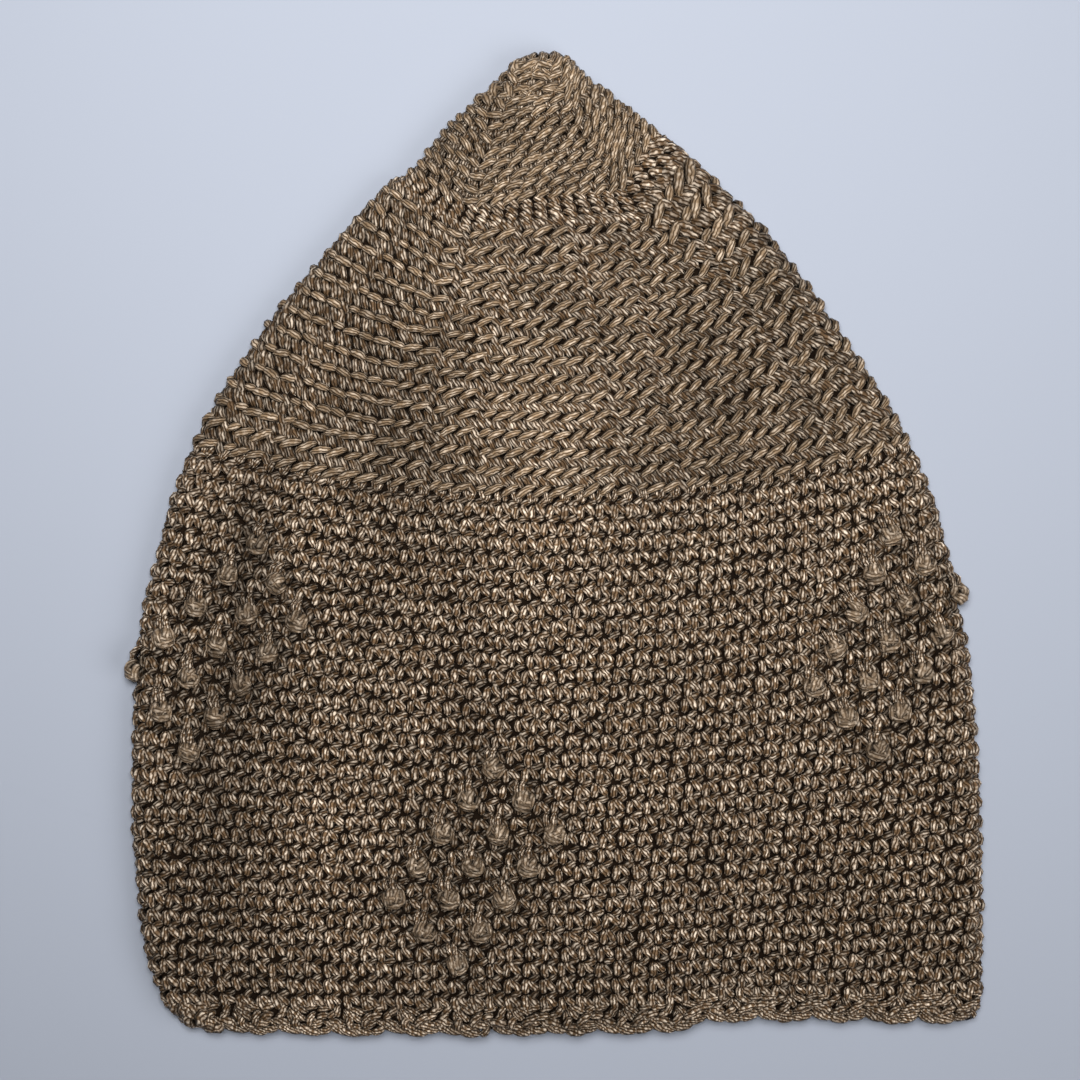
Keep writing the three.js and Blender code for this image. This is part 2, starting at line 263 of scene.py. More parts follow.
# %% The cap's place in the frame
tip_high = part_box("crown_tip")[1]
crown_low, crown_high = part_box("ridged_crown")
widest_middle = float(smooth_column("left", CROWN_START) + smooth_column("right", CROWN_START)) / 2
shift_x = (crown_low[0] + crown_high[0]) / 2 - widest_middle * MM
shift_y = tip_high[1] - POINT * MM
print(f"shift {shift_x / MM:.2f}, {shift_y / MM:.2f} mm")


def to_frame(points):
    """Millimetres from the middle of the mouth, in metres of the shared frame. No point is lower
    than the surface that the cap lies on."""
    placed = points * MM + np.array([shift_x, shift_y, 0.0])
    placed[:, 2] = np.maximum(placed[:, 2], 0)
    return placed


# %% [markdown]
# ## A strand of yarn
# A strand is a tube: a ring of points carried along a path. The ring has more points on its outer
# side, which shows, than on its inner side. Each end is closed. The map of the strand has the
# distance along it, in millimetres, and the share of the way round it, so that the plies can be
# drawn along the yarn wherever it goes. Two more values go with it. One is the strand's tone, which
# has a little chance in it, changes in long soft bands of painted light and shade, and is lowered
# by painted shade where a strand lies low. The other is its painted shading: painted light on the
# strand's top, dimmer near its ends, and painted shade down its sides.

# %% Sweeping strands
# Bands of painted light and shade on the tone, lighter or darker: each has x, y, length, width, turn in
# degrees and amount.
PAINTED_LIGHT_AND_SHADE_BANDS = (
    (-94, 60, 85, 15, -3, -0.24),
    (-85, 140, 32, 9, -8, -0.20),
    (-62, 65, 60, 13, -3, 0.14),
    (-47, 148, 42, 11, -14, -0.24),
    (-7, 150, 75, 18, 3, 0.24),
    (-24, 102, 28, 11, 0, -0.15),
    (-10, 40, 40, 18, 2, -0.10),
    (52, 200, 40, 22, 0, -0.10),
    (40, 2, 16, 90, 0, -0.14),
)
TONE_CHANCE, MAP_CHANCE = 0.35, 30
# How the painted shading falls off towards a strand's sides and ends.
SIDE_SHADE_POWER, END_SHADE_FADE = 1.5, 0.8


def ring_angles(outer_steps):
    """Angles round a strand: even steps over its outer half and one point in the inner half."""
    outer = np.linspace(0, math.pi, outer_steps + 1)
    return np.concatenate([outer, [1.5 * math.pi]])


def sweep(path, normal, radius, outer_steps=4, lay_length=1.0, shade=0.0):
    """Tubes along many paths at once. Every array has a row for each strand and a column for each
    point on it. A ring's point is path + radius * (cos(angle) * sideways + sin(angle) * outwards).
    In a slack strand the plies make a longer screw, so its distances are divided by the lay length.
    With t from -1 to 1 along the strand, a point's painted shading is sin(angle)^1.5 * (1 - 0.8 *
    |t|^3): painted light on the strand's top, painted shade down its sides and near its ends. The
    tone takes in bands of painted light and shade, and loses the painted shade that is passed in."""
    angles = ring_angles(outer_steps)
    strands, points = path.shape[:2]
    corners = len(angles)
    ahead = np.gradient(path, axis=1)
    ahead /= np.linalg.norm(ahead, axis=2, keepdims=True)
    sideways = np.cross(ahead, normal)
    sideways /= np.linalg.norm(sideways, axis=2, keepdims=True)
    outwards = np.cross(sideways, ahead)
    cosine, sine = np.cos(angles)[:, None], np.sin(angles)[:, None]
    ring = cosine * sideways[:, :, None] + sine * outwards[:, :, None]
    vertices = path[:, :, None] + radius[..., None, None] * ring

    first = (np.arange(strands) * points * corners)[:, None, None]
    i, j = np.meshgrid(np.arange(points - 1), np.arange(corners), indexing="ij")
    k = (j + 1) % corners
    here, beyond = i * corners, (i + 1) * corners
    quads = np.stack([here + j, beyond + j, beyond + k, here + k], -1)
    sides = first + quads.reshape(1, -1, 4)
    m = np.arange(1, corners - 1, 2)
    start = np.stack([0 * m, m, m + 1, m + 2], -1)[None]
    end = (points - 1) * corners + start[:, :, ::-1]
    faces = np.concatenate([sides, first + start, first + end], axis=1)

    steps = np.linalg.norm(np.diff(path, axis=1), axis=2)
    run = np.concatenate([np.zeros((strands, 1)), np.cumsum(steps, axis=1)], axis=1)
    turned = np.concatenate([angles, [2 * math.pi]]) / (2 * math.pi)
    offset = draw.uniform(0, MAP_CHANCE, (strands, 1))
    u = (run / lay_length + offset)[:, np.stack([i, i + 1, i + 1, i], -1)]
    v = np.broadcast_to(turned[np.stack([j, j, j + 1, j + 1], -1)], u.shape)
    side_uv = np.stack([u, v], -1).reshape(strands, -1, 4, 2)
    cap_uv = np.zeros((strands, 2 * len(m), 4, 2)) + side_uv[:, :1, :1]
    uv = np.concatenate([side_uv, cap_uv], axis=1)
    middle = path[:, points // 2]
    tone_and_shade = TONE_CHANCE * draw.uniform(0, 1, strands)
    # The tone takes in the bands of painted light and shade, less the painted shade passed in.
    tone_and_shade = tone_and_shade + soft_bands(PAINTED_LIGHT_AND_SHADE_BANDS, middle[:, 0], middle[:, 1]) - shade
    t = np.abs(np.linspace(-1, 1, points))[:, None]
    # Painted shading: light on the strand's top, shade down its sides and near its ends.
    painted_shading = np.maximum(np.sin(angles), 0) ** SIDE_SHADE_POWER * (1 - END_SHADE_FADE * t ** 3)
    return {
        "vertices": vertices.reshape(-1, 3), "faces": faces.reshape(-1, 4), "uv": uv.reshape(-1, 2),
        "tone_and_shade": np.repeat(tone_and_shade, points * corners), "painted_shading": np.tile(painted_shading.ravel(), strands),
    }


def add_piece(mesh, material, *nodes):
    """A piece of the cap from its mesh, which stands for the solids that are named."""
    mesh.shade_smooth()
    mesh.materials.append(material)
    piece = bpy.data.objects.new(mesh.name, mesh)
    bpy.context.scene.collection.objects.link(piece)
    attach(piece, "root")
    if nodes:
        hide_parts(*nodes)


def make_piece(name, parts, material, *nodes):
    """One piece from many swept parts, joined as arrays."""
    counts = np.cumsum([0] + [len(part["vertices"]) for part in parts])
    vertices = to_frame(np.concatenate([part["vertices"] for part in parts]))
    faces = np.concatenate([part["faces"] + count for part, count in zip(parts, counts)])
    mesh = bpy.data.meshes.new(name)
    mesh.vertices.add(len(vertices))
    mesh.vertices.foreach_set("co", vertices.astype(np.float32).ravel())
    mesh.loops.add(faces.size)
    mesh.loops.foreach_set("vertex_index", faces.astype(np.int32).ravel())
    mesh.polygons.add(len(faces))
    mesh.polygons.foreach_set("loop_start", np.arange(0, faces.size, 4, dtype=np.int32))
    mesh.update(calc_edges=True)
    uv = np.concatenate([part["uv"] for part in parts])
    mesh.uv_layers.new(name="yarn").data.foreach_set("uv", uv.astype(np.float32).ravel())
    for key in ("tone_and_shade", "painted_shading"):
        value = np.concatenate([part[key] for part in parts])
        mesh.attributes.new(key, "FLOAT", "POINT").data.foreach_set("value", value.astype(np.float32))
    add_piece(mesh, material, *nodes)
    print(f"{name}: {2 * len(faces)} triangles")


# %% [markdown]
# ## Strands that make a stitch
# What shows of a stitch is a few short lengths of yarn that come up out of the fabric, lie on it and
# go down again. Each is a row in a small table: where it starts and ends from the stitch's own
# place, how far it bows aside, how high its peak lies, how deep its ends dive, its radius, and how
# far along it the peak is. The same rows are laid at hundreds of places, each with a little chance
# in them, because hands don't repeat themselves exactly.

# %% Laying strands on the fabric
WOBBLE, TURN_WOBBLE, SIZE_WOBBLE, HEIGHT_WOBBLE = 0.15, 0.09, 0.08, 0.6
TAPER, TAPER_POWER, DIVE_POWER = 0.62, 3.5, 2.6
MOST_GAP, GAP_POWER = 1.5, 0.8
FINE, COARSE = {"points": 7, "outer_steps": 4}, {"points": 4, "outer_steps": 2}


def lay(along, share, strand, points=7, outer_steps=4, stretch=1.0, turn=0.0, wobble=1.0,
        lay_length=1.0, sunk=0.0, shade=0.0, taper_power=TAPER_POWER):
    """One kind of strand at many places. At a share t from its start to its end the strand is at
    start + (end - start) * t + bow * sin(pi t) sideways. With e = |2 t^g - 1|, which is 0 at the
    strand's peak and 1 at its ends, its height is crest - dive * e^2.6 and it is as thick as
    radius * (1 - 0.62 * e^p), with p the taper power. Where the rounds lie further apart it is
    thicker by the gap to the power 0.8."""
    x0, y0, x1, y1, bow, crest, dive, radius, peak = strand
    n = len(along)
    t = (1 - np.cos(np.linspace(0, math.pi, points))) / 2
    ends = np.abs(2 * t ** (math.log(0.5) / math.log(peak)) - 1)
    length = math.hypot(x1 - x0, y1 - y0)
    arch = bow * np.sin(math.pi * t)
    x = x0 + (x1 - x0) * t - arch * (y1 - y0) / length
    y = y0 + (y1 - y0) * t + arch * (x1 - x0) / length
    middle_x, middle_y = (x0 + x1) / 2, (y0 + y1) / 2
    turned = np.reshape(turn, (-1, 1)) + draw.normal(0, TURN_WOBBLE * wobble, (n, 1))
    moved = draw.normal(0, WOBBLE * wobble, (3, n, 1))
    size = 1 + draw.normal(0, SIZE_WOBBLE * wobble, (n, 1))
    dx, dy = (x - middle_x) * size, (y - middle_y) * size
    px = (middle_x + dx * np.cos(turned) - dy * np.sin(turned)) * np.reshape(stretch, (-1, 1)) + moved[0]
    py = middle_y + dx * np.sin(turned) + dy * np.cos(turned) + moved[1]
    height = crest - dive * ends ** DIVE_POWER + moved[2] * HEIGHT_WOBBLE - np.reshape(sunk, (-1, 1))
    at = along[:, None] + py
    gap = np.clip(blend(row_gap, along, share), 1, MOST_GAP) ** GAP_POWER
    thick = radius * (1 - TAPER * ends ** taper_power) * np.sqrt(size) * gap
    point, normal = on_cap(at, share[:, None] + px / girth(along)[:, None], height, thick)
    return sweep(point, normal, thick, outer_steps, lay_length, shade)


# %% [markdown]
# ## The yarn's finish
# The yarn is a mercerised cotton in khaki brown, with a handful of fine plies laid round each other.
# The plies are far too many to model, so they are drawn along the strand's map, by colour and bump:
# the sine of the share round the yarn plus the distance along it makes a screw of crests and
# grooves. The crests carry painted highlights, pale sand in broken dashes where the fibres would
# catch the light, and the grooves are lower and painted darker, as shade. Each strand has its own
# tone, and slow patches of tone run over the whole cap. The free loops of the crown are slack, so
# their plies lie almost straight and are softer, and the bobbles are fluffed up, so their plies show
# least. A strand is painted light on its top and painted shade down its sides. A weak sheen stands
# for the fine fibres at the edges.

# %% Material helpers
def add_node(tree, kind, inputs=None, **settings):
    """A node with its settings, and its inputs set by a value or linked from a socket."""
    node = tree.nodes.new(kind)
    for key, value in settings.items():
        setattr(node, key, value)
    for key, value in (inputs or {}).items():
        if isinstance(value, bpy.types.NodeSocket):
            tree.links.new(value, node.inputs[key])
        else:
            node.inputs[key].default_value = value
    return node


def calculate(tree, operation, first, second=0.0):
    """The result of one sum on numbers or sockets."""
    node = add_node(tree, "ShaderNodeMath", {0: first, 1: second}, operation=operation)
    return node.outputs[0]


def between(tree, factor, low, high):
    """A colour between two others."""
    node = add_node(tree, "ShaderNodeMix", {"Factor": factor}, data_type="RGBA")
    for socket, value in ((node.inputs[6], low), (node.inputs[7], high)):
        if isinstance(value, bpy.types.NodeSocket):
            tree.links.new(value, socket)
        else:
            socket.default_value = (*value, 1)
    return node.outputs[2]


def noise(tree, where, scale, detail):
    """Soft noise over places, mostly between 0.3 and 0.7."""
    inputs = {"Vector": where, "Scale": scale, "Detail": detail}
    return add_node(tree, "ShaderNodeTexNoise", inputs).outputs[0]


def new_material(name, surface):
    """A material, its node tree and its shader, whose sockets are set from the surface's values."""
    material = bpy.data.materials.new(name)
    material.use_nodes = True
    shader = material.node_tree.nodes["Principled BSDF"]
    for key, value in surface.items():
        shader.inputs[key].default_value = value
    return material, material.node_tree, shader


# %% The yarn material
PLY_LENGTH, CREST_POWER, DASH_POWER = 17.0, 0.9, 2.0
DASHES_PER_MM, DASH_FROM, DASH_UNTIL = 1.35, 0.45, 0.60
STRAIN_SCALE, FIBRE_SCALE, PATCH_SCALE = 560.0, 2600.0, 38.0
STRAIN, FIBRE_HEIGHT, PATCH_TONE = 1.3, 0.3, 0.4
# The last two values scale the painted shading, from shade down a strand's sides to light on its top.
BASE_TONE, LEAST_TONE, SIDE_SHADE_VALUE, TOP_LIGHT_VALUE = 0.42, 0.24, 0.04, 1.24
# Each finish has a groove colour, which is painted shade in the ply grooves, and a khaki.
GROOVE_SHADE_BROWN, YARN_KHAKI = (0.040, 0.019, 0.006), (0.205, 0.126, 0.068)
FELTED_GROOVE_SHADE, FELTED_KHAKI = (0.106, 0.067, 0.038), (0.31, 0.221, 0.144)
SLACK_GROOVE_SHADE, SLACK_KHAKI = (0.064, 0.033, 0.013), (0.34, 0.236, 0.145)
# A pale sand for the painted highlights on the plies' crests.
HIGHLIGHT_SAND = (1.0, 0.845, 0.68)
YARN_SURFACE = {"Roughness": 0.42, "Specular IOR Level": 0.12, "Sheen Weight": 0.01, "Sheen Roughness": 0.4}


def yarn_material(name, plies, groove, khaki, highlight_share, ply_depth):
    """One finish of the yarn. With screw = plies * (share round + length / ply length) + strain, a
    ply's wave is |sin(pi * screw)| and its crest is wave^0.9. The colour goes from the groove's
    painted shade to khaki with the crest, and on to the sand of the painted highlights by the dash *
    wave^2. It is then made lighter or darker by the tone with its patches, times the painted shading,
    which is light on a strand's top and dark down its sides."""
    material, tree, shader = new_material(name, YARN_SURFACE)
    place = add_node(tree, "ShaderNodeUVMap", uv_map="yarn").outputs[0]
    parts = add_node(tree, "ShaderNodeSeparateXYZ", {0: place})
    along_yarn, round_yarn = parts.outputs[0], parts.outputs[1]
    where = add_node(tree, "ShaderNodeTexCoord").outputs["Object"]
    strain = noise(tree, where, STRAIN_SCALE, 1.0)
    fibre = noise(tree, where, FIBRE_SCALE, 2.0)
    patch = noise(tree, where, PATCH_SCALE, 2.0)
    tone_and_shade = add_node(tree, "ShaderNodeAttribute", attribute_name="tone_and_shade").outputs["Fac"]
    # Painted shading: light on a strand's top, shade down its sides.
    painted_shading = add_node(tree, "ShaderNodeAttribute", attribute_name="painted_shading").outputs["Fac"]

    screw = calculate(tree, "ADD", calculate(tree, "MULTIPLY", round_yarn, float(plies)),
                      calculate(tree, "MULTIPLY", along_yarn, plies / PLY_LENGTH))
    screw = calculate(tree, "ADD", screw, calculate(tree, "MULTIPLY", strain, STRAIN))
    sine = calculate(tree, "SINE", calculate(tree, "MULTIPLY", screw, math.pi))
    wave = calculate(tree, "ABSOLUTE", sine)
    crest = calculate(tree, "POWER", wave, CREST_POWER)
    cell = add_node(tree, "ShaderNodeCombineXYZ", {
        "X": calculate(tree, "MULTIPLY", along_yarn, DASHES_PER_MM),
        "Y": calculate(tree, "FLOOR", screw),
    }).outputs[0]
    dash = noise(tree, cell, 1.0, 1.0)
    dash = add_node(tree, "ShaderNodeMapRange", {0: dash, 1: DASH_FROM, 2: DASH_UNTIL}).outputs[0]

    # Painted shade in the grooves, and painted highlights in sand dashes on the crests.
    ply_colour = between(tree, crest, groove, khaki)
    bright = calculate(tree, "MULTIPLY", calculate(tree, "POWER", wave, DASH_POWER), dash)
    bright = calculate(tree, "MULTIPLY", bright, highlight_share)
    colour = between(tree, bright, ply_colour, HIGHLIGHT_SAND)
    level = calculate(tree, "ADD", tone_and_shade, calculate(tree, "MULTIPLY", patch, PATCH_TONE))
    level = calculate(tree, "MAXIMUM", calculate(tree, "ADD", level, BASE_TONE), LEAST_TONE)
    # The painted shading scales the colour's value.
    lit = calculate(tree, "ADD", calculate(tree, "MULTIPLY", painted_shading, TOP_LIGHT_VALUE), SIDE_SHADE_VALUE)
    value = calculate(tree, "MULTIPLY", level, lit)
    toned = add_node(tree, "ShaderNodeHueSaturation", {"Color": colour, "Value": value})
    tree.links.new(toned.outputs[0], shader.inputs["Base Color"])

    relief = calculate(tree, "ADD", crest, calculate(tree, "MULTIPLY", fibre, FIBRE_HEIGHT))
    bump = add_node(tree, "ShaderNodeBump", {"Height": relief, "Distance": ply_depth, "Strength": 1.0})
    tree.links.new(bump.outputs[0], shader.inputs["Normal"])
    return material


yarn = yarn_material("plied_khaki_cotton", plies=7, groove=GROOVE_SHADE_BROWN, khaki=YARN_KHAKI,
                     highlight_share=1.0, ply_depth=0.00036)
knob_yarn = yarn_material("felted_khaki_cotton", plies=6, groove=FELTED_GROOVE_SHADE, khaki=FELTED_KHAKI,
                          highlight_share=0.55, ply_depth=0.00026)
slack_yarn = yarn_material("slack_khaki_cotton", plies=8, groove=SLACK_GROOVE_SHADE, khaki=SLACK_KHAKI,
                           highlight_share=0.55, ply_depth=0.00030)


# %% [markdown]
# ## The fabric between the stitches
# Under the strands that show, a real stitch goes on through the fabric. A thin closed bag a little
# below the surface stands for that, painted near black as shade: it fills the gaps with painted
# shadow, and its inner side is the cap's inside, as dark, with low lumps the size of a stitch. It
# is a grid of the same table at two depths, joined at the mouth and closed at the point.

# %% The inner fabric
INNER_DEPTH, FABRIC_DEPTH = 0.8, 2.3
INNER_START, INNER_SHORTER = 1.6, 4.5
INNER_ROWS, INNER_COLUMNS = 90, 140


def bag(depth, rows):
    """A grid of points at one depth under the surface."""
    share = np.arange(INNER_COLUMNS) / INNER_COLUMNS
    along, share = np.meshgrid(rows, share, indexing="ij")
    return on_cap(along, share, np.full(along.shape, -depth), depth)[0]


def make_inner_fabric(material):
    """The bag: quads between the rows of both grids, one band of them at the mouth, and a fan of
    triangles round the pole of each grid."""
    rows = np.linspace(INNER_START, CAP_END, INNER_ROWS)
    inner_rows = np.linspace(INNER_START, CAP_END - INNER_SHORTER, INNER_ROWS)
    outer, inner = bag(INNER_DEPTH, rows), bag(FABRIC_DEPTH, inner_rows)
    poles = np.stack([outer[-1].mean(axis=0), inner[-1].mean(axis=0)])
    vertices = np.concatenate([outer.reshape(-1, 3), inner.reshape(-1, 3), poles])
    i, j = np.meshgrid(np.arange(INNER_ROWS - 1), np.arange(INNER_COLUMNS), indexing="ij")
    k = (j + 1) % INNER_COLUMNS
    a, b = i * INNER_COLUMNS + j, i * INNER_COLUMNS + k
    quads = np.stack([a, b, b + INNER_COLUMNS, a + INNER_COLUMNS], -1).reshape(-1, 4)
    ring = np.arange(INNER_COLUMNS)
    after = (ring + 1) % INNER_COLUMNS
    count = INNER_ROWS * INNER_COLUMNS
    mouth = np.stack([ring + count, after + count, after, ring], -1)
    last = count - INNER_COLUMNS
    outer_end = np.stack([ring + last, after + last, np.full_like(ring, 2 * count)], -1)
    inner_end = np.stack([after + last, ring + last, np.full_like(ring, count + 1)], -1) + count
    faces = np.concatenate([quads, quads[:, ::-1] + count, mouth]).tolist()
    faces += np.concatenate([outer_end, inner_end]).tolist()
    mesh = bpy.data.meshes.new("inner_fabric")
    mesh.from_pydata(to_frame(vertices), [], faces)
    add_piece(mesh, material)
    print(f"inner_fabric: {len(faces)} faces")


LUMP_SCALE, LUMP_DEPTH = 260.0, 0.0012
# Near-black browns, painted shade for the yarn deep in the fabric.
DEEP_SHADE_BROWN, DEEPEST_SHADE_BROWN = (0.014, 0.007, 0.003), (0.005, 0.0025, 0.001)
DEEP_SURFACE = {"Roughness": 0.85, "Specular IOR Level": 0.1}


def shadow_material(name):
    """The yarn deep in the fabric, painted near black as shade: rough, with low lumps the size of a stitch.
    """
    material, tree, shader = new_material(name, DEEP_SURFACE)
    where = add_node(tree, "ShaderNodeTexCoord").outputs["Object"]
    lumps = add_node(tree, "ShaderNodeTexVoronoi", {"Vector": where, "Scale": LUMP_SCALE}).outputs[0]
    colour = between(tree, lumps, DEEP_SHADE_BROWN, DEEPEST_SHADE_BROWN)
    tree.links.new(colour, shader.inputs["Base Color"])
    bump = add_node(tree, "ShaderNodeBump", {"Height": lumps, "Distance": LUMP_DEPTH})
    tree.links.new(bump.outputs[0], shader.inputs["Normal"])
    return material


make_inner_fabric(shadow_material("near_black_shade_cotton"))


# %% [markdown]
# ## The body's single crochet
# The body has 31 rounds of 94 stitches. The rounds are worked towards the mouth, so with the point
# up each stitch shows two legs that part downwards, and beside their top the loop of the
# stitch before. That loop lies lower than the legs and is painted darker, as shade, and the legs a
# little lighter, as painted light, so that the rounds show as rows. Each stitch sits a little to the
# right of the one nearer the mouth. Near a bobble the stitches are drawn down into a hollow and
# painted darker there, as shade.

# %% Body stitches
STITCHES, BODY_ROUNDS, ROUND_HEIGHT, LEAN = 94, 31, 4.6, 0.22
BODY_STRANDS = (
    (-1.10, -0.75, 1.10, 0.65, 0.1, 0.15, 1.3, 1.16, 0.50),
    (1.90, -0.95, 1.80, -4.05, 0.0, 0.60, 1.5, 1.28, 0.52),
    (3.00, -0.80, 5.15, -3.10, 0.15, 0.50, 1.5, 1.26, 0.50),
)
# Painted shade taken off each strand's tone: the loop darker, the legs a little lighter as painted light.
BODY_SHADES = (0.30, -0.06, -0.04)
BODY_TAPER_POWER, BODY_LAY, BODY_WOBBLE = 6.0, 1.4, 0.14
FIRST_STITCH, UPPER_MIDDLE = -23.0, 0.25
FOLD_SHARE, FRONT_SHARE = 0.04, 0.58


def body_place(stitch, round_):
    """Fabric place of a stitch, counted from the middle of the upper wall and the first round."""
    along = BODY_START + (round_ + 0.5) * ROUND_HEIGHT
    share = UPPER_MIDDLE + (stitch + LEAN * round_) / STITCHES
    return along, share


def in_view(share):
    """Whether a place is on the upper wall or a fold, where the strands are finest."""
    return np.mod(share + FOLD_SHARE, 1) < FRONT_SHARE


# %% Where the bobbles are
DIAMONDS = {"high_left": (-23, 20), "low_middle": (-6.3, 8), "high_right": (14.6, 20)}
LONG_SIDE, SHORT_SIDE = 5, 3


def bobble_places():
    """Fabric places of the bobbles. One step of either side of a diamond goes down two rounds, and
    one stitch to the left or two to the right."""
    left, right = np.meshgrid(np.arange(LONG_SIDE) - 2, np.arange(SHORT_SIDE) - 1, indexing="ij")
    centres = np.array(list(DIAMONDS.values()), float)
    stitch = centres[:, :1] + (2 * right - left).ravel()
    round_ = centres[:, 1:] - 2 * (left + right).ravel()
    along, share = body_place(stitch.ravel(), round_.ravel())
    return along, share


bobble_along, bobble_share = bobble_places()
print("bobbles:", len(bobble_along))
# Near a bobble the strands sink and are painted darker, as shade.
HOLLOW_DEPTH, HOLLOW_SHADE, HOLLOW_REACH = 1.4, 0.50, 4.8


def hollow_at(along, share, strand):
    """How near a strand is to the nearest bobble, from 1 under it to 0 far away:
    exp(-(distance / reach)^2)."""
    x = (strand[0] + strand[2]) / 2
    y = (strand[1] + strand[3]) / 2
    across = (share + x / girth(along))[:, None] - bobble_share
    across = (across - np.round(across)) * girth(along)[:, None]
    distance = np.hypot(across, (along + y)[:, None] - bobble_along).min(axis=1)
    return np.exp(-(distance / HOLLOW_REACH) ** 2)


# %% Laying the body's stitches
def body_strands(chosen):
    """The strands of the chosen stitches, which are lower near a bobble and painted darker there, as shade.
    """
    along, share = body_along[chosen], body_share[chosen]
    parts = []
    for strand, shade in zip(BODY_STRANDS, BODY_SHADES):
        hollow = hollow_at(along, share, strand)
        parts.append(lay(
            along, share, strand, lay_length=BODY_LAY, taper_power=BODY_TAPER_POWER,
            sunk=HOLLOW_DEPTH * hollow, shade=shade + HOLLOW_SHADE * hollow,
        ))
    return parts


stitch, round_ = np.meshgrid(np.arange(STITCHES) + FIRST_STITCH, np.arange(BODY_ROUNDS), indexing="ij")
body_along, body_share = (place.ravel() for place in body_place(stitch, round_))
body_along = body_along + draw.normal(0, BODY_WOBBLE, body_along.shape)
body_share = body_share + draw.normal(0, BODY_WOBBLE, body_share.shape) / girth(body_along)
in_front = in_view(body_share)
third = BODY_ROUNDS * ROUND_HEIGHT / 3
for name, chosen in (
    ("body_stitches_low", in_front & (body_along < BODY_START + third)),
    ("body_stitches_middle", in_front & (np.abs(body_along - BODY_START - 1.5 * third) <= third / 2)),
    ("body_stitches_high", in_front & (body_along > BODY_START + 2 * third)),
):
    make_piece(name, body_strands(chosen), yarn, "bobbled_body")
behind = ~in_front
parts = [lay(body_along[behind], body_share[behind], strand, **COARSE) for strand in BODY_STRANDS]
make_piece("body_stitches_back", parts, yarn, "bobbled_body")


# %% [markdown]
# ## The ridged crown
# In the crown each round is hooked only into the far loop of the stitch before, so the near loops
# stay free and stand up as a ridge like a rope. The crown widens in seven sectors: a sector has 13
# stitches in the last round and one less every second round upwards. In each sector two of the
# loops are half hidden, where a stitch was added, and a slanting leg shows beside them instead.
# The rounds turn a corner at the left, and past it the loops are shorter and slope the other way.

# %% Crown rounds
SECTORS, CROWN_ROUNDS, LAST_SECTOR_STITCHES, SHORT_RIDGE = 7, 15, 13, 3
RIDGE_START, RIDGE_HEIGHT = 153.3, 5.19
SECTOR_START, SECTOR_DRIFT = 0.163, -0.0019
LOOP_PITCH, LAST_ROUND_STITCHES = 4.65, 94
RIDGE_LOOP = (-2.65, -1.75, 2.65, 1.40, 0.2, 1.10, 1.4, 1.20, 0.55)
HALF_LOOP = (-0.6, -0.8, 2.75, 1.2, 0.1, 0.65, 1.4, 1.12, 0.60)
CROWN_LEGS = (
    (-4.1, 4.5, -0.6, 1.0, 0.1, 0.10, 1.3, 1.15, 0.52),
    (-1.8, 4.5, 1.7, 1.0, 0.1, 0.15, 1.3, 1.15, 0.52),
)
SECTOR_LEG = (-3.2, 1.3, -0.2, -1.5, 0.1, 0.35, 1.4, 1.20, 0.5)
LAST_LEGS = (
    (-1.3, 0.2, -1.7, -3.3, 0.1, -0.05, 1.3, 1.02, 0.52),
    (0.5, 0.2, 2.0, -3.2, 0.1, -0.05, 1.3, 1.02, 0.52),
)
# The crown's legs, between the ridges, are painted darker, as shade.
LOOP_LAY, LEG_LAY, LEG_SHADE = 2.6, 2.8, 0.21
CORNER_BLEND, SLOPED_FROM, SLOPED_OVER = 0.16, 158.0, 10.0
CROWN_LEFT_TURN, CROWN_LEFT_SHORTER = -0.56, 0.27


def crown_places():
    """Fabric place of every crown stitch, its pitch, and whether it starts a ridge."""
    rows = []
    for k in range(CROWN_ROUNDS):
        per_sector = LAST_SECTOR_STITCHES - k // 2
        slot = np.tile(np.arange(per_sector), SECTORS)
        sector = np.repeat(np.arange(SECTORS), per_sector)
        along = np.full(len(slot), RIDGE_START + k * RIDGE_HEIGHT)
        share = SECTOR_START + SECTOR_DRIFT * k + (sector + (slot + 0.5) / per_sector) / SECTORS
        pitch = girth(along) / (SECTORS * per_sector)
        rows.append(np.stack([along, share, pitch, (slot == 0) | (slot == SHORT_RIDGE)]))
    return np.concatenate(rows, axis=1)


def left_of_corner(along, share):
    """How far a place is on the left side of the crown, from 0 in the middle to 1 past the corner."""
    x = blend(surface, along, share)[:, 0]
    left, right = smooth_column("left", along), smooth_column("right", along)
    across = (2 * x - left - right) / (right - left)
    upper = np.mod(share, 1) < 0.5
    past = -across - LEFT_CORNER + CORNER_BLEND / 2
    return np.where(upper, smooth_step(past / CORNER_BLEND), 0)


